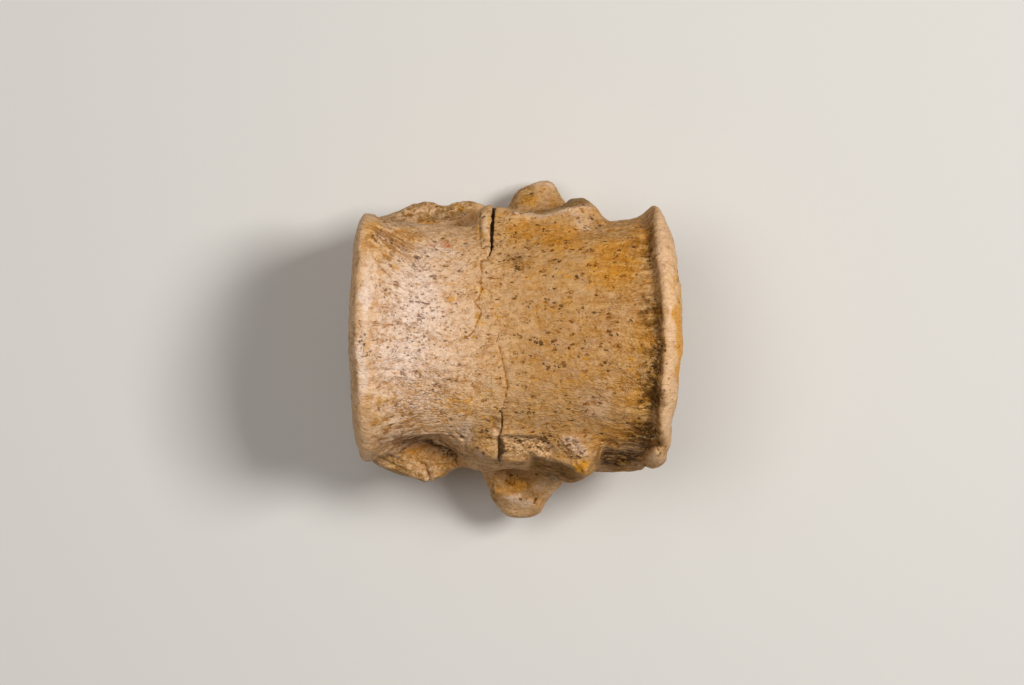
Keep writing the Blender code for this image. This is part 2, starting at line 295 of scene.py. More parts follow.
# %% Strokes and waves
def stroke(points):
    """Every vertex's distance to a drawn line, in mm."""
    points = np.array(points)
    best = np.full(len(seen), 1e9)
    for a, b in zip(points, points[1:]):
        t = np.clip(((seen - a) @ (b - a)) / ((b - a) @ (b - a)), 0, 1)
        best = np.minimum(best, np.linalg.norm(seen - (a + t[:, None] * (b - a)), axis=1))
    return best


def hump(distance, width):
    """1 on a line and falling off to both sides of it."""
    return np.exp(-((distance / width) ** 2))


def under(points):
    """How far each vertex lies below a line that crosses the picture, in mm, and negative above it."""
    line = np.array(points)
    return np.interp(seen_x, line[:, 0], line[:, 1]) - seen_y


def between(low, high, value, soft=0.4):
    """1 inside a range, 0 outside."""
    return ease(low - soft, low + soft, value) * (1 - ease(high - soft, high + soft, value))


def waves(distance, width, shift=0.0):
    """Ridges this far apart, from -1 to 1. An uneven shift bends them."""
    return np.sin(distance * 2 * math.pi / width + shift)


print("vertices within 1 mm of the picture's middle:", int((stroke([(0, 0), (0.01, 0)]) < 1).sum()))

# %% Soft spots with ragged borders
ragged = seen + 0.45 * np.stack([rough(place, 1.5, 7), rough(place, 1.5, 17)], axis=1)


def spot(middle, half, angle=0.0):
    """A soft ellipse with a ragged border: 1 in its middle, 0 past its edge."""
    c, s = math.cos(math.radians(angle)), math.sin(math.radians(angle))
    turned = (ragged - np.array(middle)) @ np.array([[c, -s], [s, c]])
    return 1 - ease(0.3, 1.0, np.linalg.norm(turned / np.array(half), axis=1))


def spots(*rows):
    """The strongest of many spots, each (x, y, half width, half height, angle, strength)."""
    return np.maximum.reduce([row[5] * spot(row[:2], row[2:4], row[4]) for row in rows])


print("a border strays up to, mm:", round(float(np.abs(ragged - seen).max()), 2))


# %% Two ways to move the vertices
def write_places(name, height):
    bone.data.vertices.foreach_set("co", (place * MM).ravel())
    bone.data.update()
    print(f"{name}: {height.min():.2f} to {height.max():.2f} mm")
    return read_vertices("normal")


def carve(name, height):
    """Moves every vertex along its normal by a height in mm. It stays inside the solid's box."""
    global place, normal
    place = np.clip(place + normal * height[:, None], box_low, box_high)
    normal = write_places(name, height)


def lower(name, depth):
    """Moves every vertex straight down by a depth in mm, which makes ledges and cliffs."""
    global place, normal
    place = place - depth[:, None] * (0, 0, 1)
    normal = write_places(name, -depth)


print("box that holds the carving, mm:", box_low.round(2), box_high.round(2))

# %% [markdown]
# ## The platform on the near flank
#
# The flank towards the bottom of the picture carries a broad platform whose skin has snapped off. A thin
# layer is gone from its top, which leaves a low step with a spongy floor. The solid has that step
# already, so here its edge is only made ragged. The platform's outer face is a dark cliff, and its corner
# is a lump of orange sediment.
#
# Ledges like these could be cut with a Boolean, but broken bone has no such clean walls. They are made by
# lowering what lies past a line, with a little noise added to the line.

# %% Platform, cliff and corner
LAYER_EDGE = [(-1.2, -7.4), (-0.5, -7.5), (1.3, -7.5), (2.6, -7.8), (3.4, -8.5)]
CLIFF_TOP = [(-1.3, -9.6), (0.2, -9.5), (1.35, -9.0), (2.2, -9.3), (3.1, -9.6), (4.2, -10.0), (5.0, -10.35),
             (5.5, -10.8)]
CLIFF_FOOT = [(-0.6, -9.9), (1.15, -10.5), (2.2, -10.85), (3.65, -11.05), (4.6, -11.3), (5.4, -11.7)]

platform = between(-1.0, 3.2, seen_x, 0.35) * belly * upward
past_layer, past_top, past_foot = under(LAYER_EDGE), under(CLIFF_TOP), under(CLIFF_FOOT)
wobble = 0.12 * rough(place, 0.8, 11)
layer = ease(-0.08, 0.16, past_layer + wobble) * platform * (1 - ease(1.2, 2.2, past_layer))
lower("broken layer", 0.12 * layer)

on_cliff = between(1.0, 5.5, seen_x, 0.6) * belly
cliff = ease(-0.1, 0.35, past_top + wobble) * (1 - ease(-0.1, 0.5, past_foot)) * on_cliff
lower("cliff", 0.6 * cliff)
carve("platform rims", belly * (
    0.16 * hump(past_top + 0.28, 0.26) * on_cliff
    + 0.1 * hump(past_layer + 0.2, 0.2) * platform
    + 0.12 * hump(past_foot - 0.35, 0.22) * on_cliff
    + 0.28 * spot((5.1, -8.4), (1.8, 1.2), -20)
))
corner = spot((5.8, -10.0), (0.95, 1.05), 30) * belly
spongy = np.maximum(layer, 0.7 * spot((4.8, -8.8), (2.0, 1.0), -15)) * upward
sponge_cells = cells(place, (0.42, 0.36, 0.4), 21)[0]
carve("sponge and sediment", (
    spongy * 0.2 * (sponge_cells - 0.42)
    + corner * (0.12 + 0.22 * rough(place, 0.6, 25))
))

# %% [markdown]
# ## The hollow and the sheet beside it
#
# Towards the head end a strut sweeps down from the belly, and behind it the flank is hollowed out. A thin
# sheet closes the hollow below and ends in a torn edge with one tip. The strut is built of thin curved
# layers, like the rings of a shell. Each could be drawn as a stroke, but waves of the distance from one
# point keep them parallel with no drawing at all.

# %% Hollow, strut and torn sheet
HOLLOW_EDGE = [(-10.6, -7.6), (-9.6, -7.75), (-8.8, -7.95), (-7.7, -8.1), (-6.5, -8.25), (-5.5, -8.6),
               (-5.0, -9.2), (-4.5, -9.7)]
STRUT_MIDDLE = (-8.3, -9.9)
SHEET_RIPPLES = [(-12.6, -8.6), (-11.0, -9.5), (-9.0, -10.3), (-7.6, -10.9)]
TIP_CREASE = [(-7.85, -10.2), (-7.6, -10.8), (-7.45, -11.6)]

past_hollow = under(HOLLOW_EDGE)
in_hollow = between(-10.4, -4.6, seen_x, 0.6)
hollow = ease(-0.1, 0.3, past_hollow + wobble) * (1 - ease(0.7, 1.7, past_hollow)) * in_hollow
lower("hollow", 0.75 * hollow)
sheet_ripple = waves(under(SHEET_RIPPLES), 0.62, 2.2 * noise(place, 2.4, 29))
on_sheet = ease(0.9, 1.7, past_hollow) * between(-12.8, -4.6, seen_x, 0.6) * ease(-6, -4, v)
from_middle = np.hypot(seen_x - STRUT_MIDDLE[0], seen_y - STRUT_MIDDLE[1]) + 0.22 * noise(place, 1.1, 33)
on_strut = between(3.1, 4.5, from_middle, 0.3) * between(-5.9, -3.8, seen_x, 0.5)
on_strut = on_strut * between(-9.8, -7.0, seen_y, 0.4)
strut_layers = waves(from_middle, 0.55, 1.2)
carve("struts and sheet", (
    0.075 * on_strut * strut_layers * upward
    + on_sheet * (0.05 * sheet_ripple + 0.1 * rough(place, 0.8, 31))
    - 0.35 * hump(stroke(TIP_CREASE), 0.2)
))

# %% [markdown]
# ## The far flank
#
# The flank towards the top of the picture has the same parts: a sheet beyond a low crest near the head
# end, a chip beside the crack, and the platform's straight lip beside the stub of the transverse process.
# The sheet and the stub lie lower than the crest and the lip. As pieces of their own they would show a
# seam where they meet the bone. So the skin is lowered past a line, and the line itself is raised a
# little to catch the light.

# %% Crest, lip and fine ridges
CREST = [(-12.7, 11.3), (-11.5, 10.85), (-10.2, 10.65), (-8.9, 10.7), (-7.6, 10.85), (-6.8, 10.9),
         (-5.6, 11.1), (-4.4, 11.5), (-3.6, 11.8), (-2.6, 11.9)]
LIP = [(-0.5, 12.0), (0.8, 11.8), (2.2, 11.65), (3.5, 11.9), (4.75, 12.25), (6.0, 12.5), (6.9, 12.35),
       (7.4, 11.9)]
past_crest, past_lip = -under(CREST), -under(LIP)
at_crest = between(-12.6, -3.2, seen_x, 0.5) * belly
at_lip = between(-0.4, 7.0, seen_x, 0.4) * belly
lower("far sheet", (
    0.45 * ease(-0.05, 0.5, past_crest + wobble) * at_crest
    + 0.6 * ease(-0.02, 0.28, past_lip + 0.5 * wobble) * at_lip
))
torn = rough(place, 0.9, 34) * ease(0.2, 0.6, past_crest) * at_crest
upright = waves(seen_x, 0.36, 2.5 * noise(place, 1.3, 36))
upright = upright * spot((5.3, 10.5), (2.9, 1.9), -10)
carve("crest and lip", (
    0.12 * hump(past_crest + 0.2, 0.2) * at_crest
    + 0.17 * hump(past_lip + 0.22, 0.2) * at_lip
    + 0.12 * torn
    + 0.03 * upright
))

# %% [markdown]
# ## The rims
#
# The tail end has a sharp ridge with a groove before it and a thick rolled lip past it. The head end is
# rounder, with a smooth band that the fibres run up to. Both are worn, small chips are missing, and lumps
# of hardened sediment sit in the groove. The end faces have faint growth rings. A bevel can't give such
# uneven rims, so they are humps and dips along two drawn lines.

# %% Ridge, groove and lips
REAR_RIDGE = [(13.0, -8.6), (12.5, -7.0), (12.35, -4.9), (12.6, -2.7), (12.9, 0.35), (12.7, 4.3),
              (12.35, 7.2), (12.05, 8.4), (11.95, 10.7), (12.0, 12.3)]
FRONT_EDGE = [(-12.2, -9.5), (-12.5, -7.0), (-12.65, -2.0), (-12.75, 3.0), (-12.6, 7.0), (-12.3, 9.5),
              (-12.2, 12.0)]
ridge_line, edge_line = np.array(REAR_RIDGE), np.array(FRONT_EDGE)
past_ridge = seen_x - np.interp(seen_y, ridge_line[:, 1], ridge_line[:, 0]) + 0.05 * rough(place, 1.1, 41)
past_edge = np.interp(seen_y, edge_line[:, 1], edge_line[:, 0]) - seen_x + 0.06 * rough(place, 1.0, 43)
rear_lip = ease(-0.1, 0.4, past_ridge)
front_lip = ease(-0.7, 0.4, past_edge)
notches = ease(0.3, 0.9, rough(place, (1.1, 0.7, 0.8), 45))
belly_rims = ease(-3.5, 0.5, v)
carve("rims", belly_rims * (
    0.16 * hump(past_ridge - 0.3, 0.42) * (1 - 0.35 * notches)
    - (0.27 + 0.1 * noise(place, 1.4, 46)) * hump(past_ridge + 0.65, 0.5) * upward
    + 0.06 * hump(past_edge - 0.15, 0.5)
    - 0.04 * hump(past_edge + 0.6, 0.4)
))
rings = waves(radius, 0.55, 2 * noise(place, 2.0, 47))
faces_ends = ease(0.6, 0.9, np.abs(normal[:, 0]))
chips = ease(0.35, 0.8, rough(place, (1.2, 0.9, 0.9), 49))
lumps = spots(
    (12.0, 0.5, 0.45, 0.5, 0, 1.0), (11.9, -0.6, 0.5, 0.7, 10, 0.9), (11.2, -4.9, 0.6, 0.5, 0, 0.9),
    (10.6, -7.6, 0.8, 0.6, -20, 0.9), (9.0, -8.4, 1.0, 0.5, 10, 0.7), (9.8, -10.0, 1.1, 0.3, 5, 0.8),
)
carve("lips and lumps", (
    0.02 * rings * faces_ends
    - 0.08 * chips * ease(0.9, 1.4, past_ridge)
    - 0.06 * chips * ease(0.8, 1.4, past_edge)
    + lumps * (0.12 + 0.2 * rough(place, 0.5, 53))
))

# %% [markdown]
# ## The stubs and the knob
#
# The near stub was broken across. The break is a small sunken facet filled with orange crumbs, and the
# smooth outer skin of the stub stands above it as a cap with a crisp edge. A small round knob stands at
# the tail rim's near corner, with a furrow round it. The crumbs could be scattered grains, but they have
# grown fast to the bone, so they are cells carved into its skin.

# %% Facet, cap and knob
CAP_EDGE = [(-2.2, -11.8), (-1.35, -12.2), (-0.3, -12.5), (1.0, -12.85), (2.2, -13.2)]
past_cap = under(CAP_EDGE)
facet = spot((-0.1, -11.9), (1.6, 1.05), -8) * (1 - ease(-0.15, 0.1, past_cap))
crumbs = cells(place, 0.55, 51)[0]
knob_round = [(12.6, -8.6), (11.3, -8.8), (10.8, -9.4), (11.3, -10.3)]
cap_ridge = ease(-0.1, 0.2, past_cap) * (1 - ease(0.3, 1.6, past_cap))
cap_ridge = cap_ridge * between(-2.0, 2.2, seen_x) * (seen_y < -11)
plane_edge = hump(stroke([(1.45, -10.7), (1.6, -12.0), (1.7, -12.4)]), 0.2)
knob = 1 - ease(0.2, 1.0, np.hypot((seen_x - 12.2) / 1.05, (seen_y + 9.35) / 0.95))
carve("facet and knob", (
    facet * (0.3 * (0.5 - crumbs) - 0.25)
    + 0.25 * cap_ridge
    + 0.12 * plane_edge
    + 0.45 * knob
    - 0.3 * hump(stroke(knob_round), 0.22)
))

# %% [markdown]
# ## Cracks
#
# Two cracks cross the bone from flank to flank and nearly meet in the middle. Each is open near the flank
# and fades to a hairline. Beside the far one a narrow chip stands up, and beside the near one a wedge has
# sunk. The solid has the open notches, which are wider than the real ones, because a remesh loses a slit
# that is narrower than its voxels. So here both walls of each notch are moved towards each other, and
# strokes carry the cracks on as hairlines.

# %% Open cracks and hairlines
FAR_SLIT = [(-1.8, 12.6), (-1.9, 12.0), (-1.97, 10.9), (-2.1, 8.9), (-2.3, 8.15)]
FAR_HAIRLINE = [(-2.3, 8.1), (-2.65, 7.9), (-3.0, 7.45), (-2.9, 6.8), (-3.05, 5.9), (-2.9, 5.3),
                (-3.15, 4.5), (-3.6, 4.1), (-3.0, 3.45), (-3.0, 3.0), (-3.3, 2.4), (-3.55, 1.7),
                (-4.0, 1.15), (-4.35, 1.05)]
NEAR_HAIRLINE = [(-1.35, 1.7), (-1.6, 0.7), (-1.27, -0.2), (-1.0, -1.5), (-0.65, -3.2), (-0.95, -4.6),
                 (-1.15, -5.6)]
NEAR_SLIT = [(-1.15, -5.6), (-1.25, -7.2), (-1.4, -8.6), (-1.4, -9.5), (-1.25, -10.0)]
RIM_GROOVE = [(-12.6, -1.6), (-11.9, -1.75), (-11.4, -1.75), (-10.4, -1.8), (-8.8, -1.95)]
FAR_CHIP = [(-2.75, 11.9), (-2.75, 10.6), (-2.6, 9.3), (-2.45, 8.6)]
NOTCH = [(-1.15, -7.5), (-1.0, -8.6), (-1.3, -9.7)]
STEP_LINE = [(-9.2, -5.5), (-9.5, -6.6), (-10.05, -7.8)]


def pinched(line):
    """How far each vertex beside an upright slit moves towards it, in mm along x."""
    ends = np.array(sorted(line, key=lambda point: point[1]))
    side = np.sign(seen_x - np.interp(seen_y, ends[:, 1], ends[:, 0]))
    return 0.15 * hump(stroke(line) - 0.3, 0.22) * side * upward


pinch = pinched(FAR_SLIT) + pinched(NEAR_SLIT)
place[:, 0] -= pinch
normal = write_places("pinched slits", -np.abs(pinch))

jitter = 0.08 * noise(place, 0.4, 55)
far_crack, near_crack = hump(stroke(FAR_SLIT) + jitter, 0.14), hump(stroke(NEAR_SLIT) + jitter, 0.08)
crack = np.maximum(far_crack, 0.7 * near_crack) * belly
hairline = upward * np.maximum.reduce([
    hump(stroke(FAR_HAIRLINE) + jitter, 0.12),
    hump(stroke(NEAR_HAIRLINE) + 0.5 * jitter, 0.1),
    0.5 * hump(stroke(RIM_GROOVE), 0.12),
])
chip = hump(stroke(FAR_CHIP), 0.33) * upward
wedge = spot((-1.65, -6.55), (0.5, 1.0), 14) * ease(-0.02, 0.12, -1.15 - seen_x) * upward
notch = hump(stroke(NOTCH), 0.26) * belly
step_line = hump(stroke(STEP_LINE), 0.1) * upward
carve("cracks", (
    0.25 * notch - 0.3 * crack - 0.13 * hairline - 0.15 * wedge - 0.05 * step_line
    + 0.12 * chip
    - 0.12 * hump(stroke(FAR_CHIP) - 0.42, 0.14) * upward
))

# %% [markdown]
# ## Grain and pores
#
# The surface of a spool is made of fibres that run along it and fan out towards both rims. Blood vessels
# left small pores, drawn out along the fibres, and they stand in crowds. Both use the bone's own
# coordinates, with lumps that are longer along the spool than round it. A bump map would be cheaper, but
# this relief shows at the outline and stays in the mesh.

# %% Fibres, pores and a fine roughness
near_rims = ease(3.5, 11.0, np.abs(x + 0.5))
skin_left = (1 - 0.85 * rear_lip) * (1 - 0.85 * front_lip) * (1 - knob)
fan = grain.copy()
fan[:, 1] += 0.5 * (x + 9.5) * spot((-9.5, 8.5), (6.0, 5.5))
fan[:, 1] -= 0.32 * (x + 9.5) * spot((-10.0, -7.8), (5.0, 3.6))
fan += 0.3 * np.stack([rough(place, 2.2, seed, 2) for seed in (56, 57, 58)], axis=1)
fibres = noise(fan, (3.2, 0.42, 1.6), 61) + 0.7 * noise(fan, (1.8, 0.22, 1.2), 62)
strands = np.maximum(near_rims, np.maximum(spot((-8.5, -7.6), (4.5, 2.2)), spot((8.6, -8.6), (3.6, 1.6))))
pit_field, pit_mark = cells(fan, (0.8, 0.46, 0.7), 65)
left_half = 1 - ease(-6.0, 2.5, x)
crowding = 0.05 + 0.08 * left_half + 0.5 * ease(0.15, 0.6, noise(place, 1.5, 66))
pores = (1 - ease(0.12, 0.36, pit_field)) * (pit_mark < crowding) * skin_left * upward
network = left_half * skin_left * upward
carve("fibres and pores", (
    fibres * (0.01 + 0.055 * strands) * skin_left
    - 0.09 * pores
    + 0.05 * network * (pit_field - 0.5)
    + 0.035 * rough(place, 0.45, 71, 2)
    + 0.08 * rough(place, 2.6, 75, 2)
))
bone.data.shade_smooth()

# %% [markdown]
# ## Hollows and edges
#
# Dirt stays in hollows and rubs off edges. Both can be found by comparing each vertex with a smoothed
# copy of the skin: where the copy lies further out, the spot is a hollow. Blender's own pointiness does
# nearly the same, but it has only one width, and the cracks and the groove need two.

# %% Compare with a smoothed copy
def depth_under(rounds):
    """How deep each vertex lies under a smoothed copy of the skin, in mm."""
    copy = bpy.data.objects.new("smoothed", bone.data.copy())
    bpy.context.scene.collection.objects.link(copy)
    modifier = copy.modifiers.new("soft", "SMOOTH")
    modifier.factor = 0.5
    modifier.iterations = rounds
    applied(copy)
    values = np.zeros(len(copy.data.vertices) * 3)
    copy.data.vertices.foreach_get("co", values)
    bpy.data.objects.remove(copy)
    return ((values.reshape(-1, 3) / MM - place) * normal).sum(axis=1)


hollow_fine, hollow_wide = depth_under(8), depth_under(150)
print("deepest hollow, mm:", round(float(hollow_wide.max()), 2))

# %% [markdown]
# ## Stains as attributes
#
# The ground stained the bone in patches: pale over the head half of the belly, tan over the tail half,
# mustard towards the top right, orange along the rims, and brown in places. Other patches are painted
# light: painted shade in brown and olive in the deep places and on faces turned from the main lamp, and
# painted highlights in pale on crests and ridges. They could be painted on the vertices by hand, but a
# painting can't be run again after the mesh changes. So each kind of patch is a set of soft spots, saved
# on the mesh as an attribute that the material reads.
#
# The spots lie in the picture's plane, so they would go right through the bone. They are kept off the end
# faces and off all that faces down.

# %% A helper that saves a mask
def keep(name, values):
    """Saves one number for each vertex as an attribute of the mesh."""
    attribute = bone.data.attributes.new(name, "FLOAT", "POINT")
    attribute.data.foreach_set("value", np.ascontiguousarray(values, dtype=np.float32))


end_faces = ease(0.3, 0.7, np.sign(x) * normal[:, 0]) * (1 - ease(8.0, 10.0, radius))
facing = ease(-0.15, 0.2, normal[:, 2]) * (1 - end_faces)
print("vertices that patches may reach:", int((facing > 0.5).sum()))

# %% Pale and peach patches, and painted highlights
# Each row is x, y, half width, half height, angle and strength, laid out in the picture's plane.
# Some pale spots are painted highlights: the near stub's cap ridge, the far stub and the tail lip's crest.
pale_and_highlight = spots(
    (-8.6, 4.6, 3.6, 4.8, 0, 1.0), (-10.0, -1.0, 3.2, 3.6, 0, 1.0), (-13.0, 4.6, 0.9, 3.6, 0, 1.0),
    (-13.4, -1.2, 0.8, 4.6, 0, 0.9), (-8.4, -4.7, 1.9, 0.9, 8, 1.0), (-6.0, -5.0, 3.0, 1.4, 0, 0.7),
    (-5.2, 6.8, 1.6, 1.8, 0, 0.5), (-4.4, -7.2, 0.9, 2.0, 20, 0.8), (1.4, 11.4, 1.0, 0.5, 0, 0.7),
    (5.7, 11.2, 1.9, 0.8, -40, 0.8), (7.0, -4.8, 3.0, 2.2, 0, 0.5), (3.0, 14.4, 0.9, 0.9, 0, 0.9),
    (-7.6, -4.8, 4.0, 2.0, 0, 0.8), (-7.0, 8.6, 3.4, 1.2, 0, 0.8), (-12.4, 8.0, 0.8, 2.6, 0, 0.9),
    (5.0, -8.2, 1.8, 0.9, -18, 1.0), (9.4, 2.6, 1.8, 0.9, 0, 0.3), (-2.45, 10.5, 0.3, 1.7, 0, 1.0),
    (-1.9, -6.9, 0.4, 1.0, -14, 1.0), (-2.9, -9.3, 0.7, 1.0, 0, 0.6), (-7.0, 12.2, 0.7, 0.6, 0, 0.5),
    (-3.6, 12.0, 0.7, 0.5, 0, 0.6), (1.9, -11.9, 0.9, 1.0, 0, 0.5), (-10.2, 8.2, 2.2, 1.6, -15, 0.9),
    (3.6, -11.2, 1.2, 0.3, -14, 0.9), (4.6, 10.2, 2.0, 1.0, 0, 0.5), (0.2, -13.0, 1.7, 0.45, -12, 1.2),
    (2.2, 14.4, 1.6, 1.4, 0, 0.9), (12.8, 8.0, 0.35, 3.2, -6, 0.7), (12.2, -9.4, 0.7, 0.6, 0, 1.2),
)
# The peach spot in the middle of the far stub is a painted highlight.
peach = spots(
    (12.2, -9.4, 0.9, 0.8, 10, 1.0), (0.2, -13.7, 2.4, 1.2, -6, 1.0), (2.3, 14.2, 1.3, 1.3, 0, 0.9),
    (-13.2, 9.6, 0.7, 2.4, 0, 0.8), (-2.45, 10.5, 0.3, 1.7, 0, 0.9), (5.8, 11.6, 1.4, 0.8, -30, 0.8),
    (0.4, 11.5, 1.4, 0.5, 0, 0.7), (-2.0, -7.0, 0.6, 1.2, -14, 0.8), (-5.4, -10.0, 1.6, 0.7, 10, 0.5),
    (2.7, -11.7, 1.3, 1.3, 0, 0.8), (4.8, 10.4, 2.2, 1.3, 0, 0.9), (-10.2, 8.0, 2.0, 1.4, -20, 0.7),
    (-13.2, -7.5, 0.6, 2.4, 0, 0.5),
)
# A painted highlight along the crests of the tail lip and the far platform's lip.
lip_crest_highlight = np.maximum(hump(past_ridge - 0.8, 0.35) * belly, hump(past_lip + 0.2, 0.2) * at_lip)
whiteness = np.exp(-(((seen_x + 9.2) / 6.0) ** 2) - ((seen_y - 1.4) / 10.0) ** 2)
print("pale vertices:", int((pale_and_highlight > 0.5).sum()), "and peach ones:", int((peach > 0.5).sum()))

# %% Mustard, orange and red patches
mustard = spots(
    (4.0, 9.7, 2.6, 2.0, 0, 1.0), (0.4, 10.4, 2.2, 1.4, 0, 0.85), (8.4, 7.4, 3.6, 3.0, 10, 1.0),
    (11.0, 9.6, 1.4, 2.2, 0, 0.7), (-7.6, 11.1, 1.2, 0.5, 0, 1.0), (-4.6, 12.5, 0.9, 0.3, 0, 0.8),
    (10.6, -4.2, 1.4, 1.4, 0, 0.6), (8.8, -7.6, 2.6, 1.2, 8, 0.7), (-7.0, -9.6, 4.4, 1.1, -8, 0.6),
    (11.0, -6.0, 1.2, 1.6, 0, 0.6), (11.2, 1.4, 1.0, 2.4, 0, 0.6), (9.0, -9.6, 2.8, 0.9, 4, 0.5),
    (2.0, 14.0, 1.6, 0.9, 0, 0.4), (-9.4, 9.9, 2.4, 0.8, -6, 0.6), (-3.4, 12.0, 0.5, 0.5, 0, 0.6),
    (-12.6, 10.3, 0.8, 1.2, 0, 0.7),
)
orange = spots(
    (-12.0, -6.3, 0.9, 1.1, 0, 1.0), (-11.6, -4.4, 1.1, 0.9, 0, 0.7), (5.8, -10.0, 0.9, 1.1, 20, 1.0),
    (-0.1, -11.9, 1.5, 0.8, -8, 1.0), (-11.4, 8.6, 1.6, 1.6, -20, 0.6), (-3.1, 5.0, 0.6, 1.4, 0, 0.7),
    (-3.2, 2.6, 0.5, 1.0, 20, 0.9), (-5.0, -4.8, 3.2, 1.4, 15, 0.5), (-8.6, -9.1, 1.0, 0.5, 0, 1.0),
    (14.25, -1.2, 0.45, 9.0, 0, 1.3), (13.7, 6.0, 0.35, 2.0, -8, 0.6), (-2.95, 10.0, 0.22, 1.9, 0, 0.8),
    (-2.0, -6.2, 0.6, 0.5, -30, 0.9), (1.0, 13.2, 1.2, 0.8, -25, 0.8), (11.9, 0.5, 0.5, 0.6, 0, 1.0),
    (11.3, -4.9, 0.7, 0.6, 0, 0.9), (10.5, -7.6, 0.8, 0.6, 0, 0.8), (-12.2, 9.0, 1.2, 2.4, 0, 0.6),
    (11.4, -9.9, 0.6, 0.5, 0, 0.9), (-6.9, -11.0, 0.5, 0.5, 0, 0.8), (-10.6, -10.2, 1.0, 0.5, -20, 0.8),
    (9.6, -10.2, 1.1, 0.3, 5, 0.8), (-1.2, -9.6, 0.5, 0.4, 0, 0.6), (1.8, -10.9, 0.4, 0.3, 0, 0.7),
)
red = spots((-6.1, 9.35, 0.7, 0.3, 0, 1.0), (-7.3, 9.2, 0.6, 0.25, 0, 0.7))
print("mustard vertices:", int((mustard > 0.5).sum()), "and orange ones:", int((orange > 0.5).sum()))

# %% Brown and olive stains, and painted shade
# Brown stains, and painted shade: in the hollow under the strut, on the flank by the knob, along the head
# lip's outer edge and on the near stub's left side.
brown_and_shade = spots(
    (11.7, -3.2, 1.5, 4.6, 0, 0.95), (11.2, -7.2, 1.8, 2.0, 0, 0.9), (11.6, 8.8, 1.0, 3.4, -6, 0.75),
    (11.7, 3.4, 1.2, 3.2, 0, 0.7), (-7.0, -8.25, 2.8, 0.45, -8, 1.0), (0.4, 7.6, 1.7, 1.2, 35, 0.5),
    (-14.2, -1.5, 0.4, 9.0, 0, 0.4), (-13.8, 6.0, 0.5, 6.0, 0, 0.3), (9.0, -9.4, 3.4, 1.2, 6, 1.0),
    (-5.6, -8.8, 2.6, 0.7, -18, 1.0), (-8.8, -8.1, 2.4, 0.45, 5, 0.6), (1.8, -7.85, 2.6, 0.3, -2, 0.6),
    (-1.2, -9.7, 0.9, 0.3, 0, 0.6), (11.4, -8.2, 1.1, 1.2, 0, 0.8), (12.0, -0.4, 0.8, 1.6, 0, 0.8),
    (-9.0, 11.6, 0.7, 0.3, 0, 0.6), (0.7, 10.3, 0.5, 0.4, 0, 0.6), (-1.1, -8.6, 0.4, 1.3, 2, 1.0),
    (0.3, -9.9, 1.2, 0.2, -8, 0.8), (-0.6, 13.0, 0.5, 1.0, -30, 0.5), (13.9, 6.2, 0.25, 0.6, 0, 0.9),
    (-11.6, 9.8, 1.6, 0.35, -10, 0.5), (-1.8, -12.2, 0.5, 1.4, 20, 0.6),
    (-2.4, -5.6, 0.7, 0.25, -10, 0.7), (-0.9, -11.5, 0.6, 0.5, 0, 0.6), (0.6, -12.1, 0.8, 0.2, -12, 0.5),
)
# Painted shade on the left of the far stub, the left side and foot of the near stub, the flank by the knob
# and the near sheet's edge. The tail groove gets olive dirt and painted shade.
olive_stain_and_shade = spots(
    (0.9, 13.6, 0.7, 1.2, -30, 0.5), (11.7, 3.2, 0.9, 2.6, 0, 0.6), (11.9, -1.0, 1.0, 1.8, 0, 0.8),
    (12.0, -4.2, 1.1, 3.0, 0, 0.9), (11.5, -8.0, 1.4, 1.6, 0, 0.9), (11.7, 8.6, 0.7, 3.6, -6, 0.6),
    (-2.2, -13.2, 0.6, 1.7, 20, 0.9), (0.2, -14.9, 2.4, 0.4, 0, 0.8), (9.2, -9.4, 3.2, 1.4, 5, 0.7),
    (0.0, 13.0, 0.6, 1.2, -30, 0.6), (-9.9, -10.3, 2.2, 0.6, -20, 0.9), (-1.7, -12.4, 0.4, 0.7, 10, 0.8),
)
torn_sheet = ease(0.1, 0.5, past_crest) * at_crest
# The band past the far lip turns away from the main lamp and gets painted shade.
beyond_lip = ease(0.0, 0.25, past_lip) * (1 - ease(0.7, 1.3, past_lip)) * between(1.2, 6.6, seen_x) * belly
# A painted shadow along the step of the broken layer.
layer_step_shadow = hump(past_layer - 0.12, 0.16) * platform * (0.7 + 0.5 * noise(place, 0.5, 77))
print("brown vertices:", int((brown_and_shade > 0.5).sum()), "and shaded ones:", int((olive_stain_and_shade > 0.5).sum()))

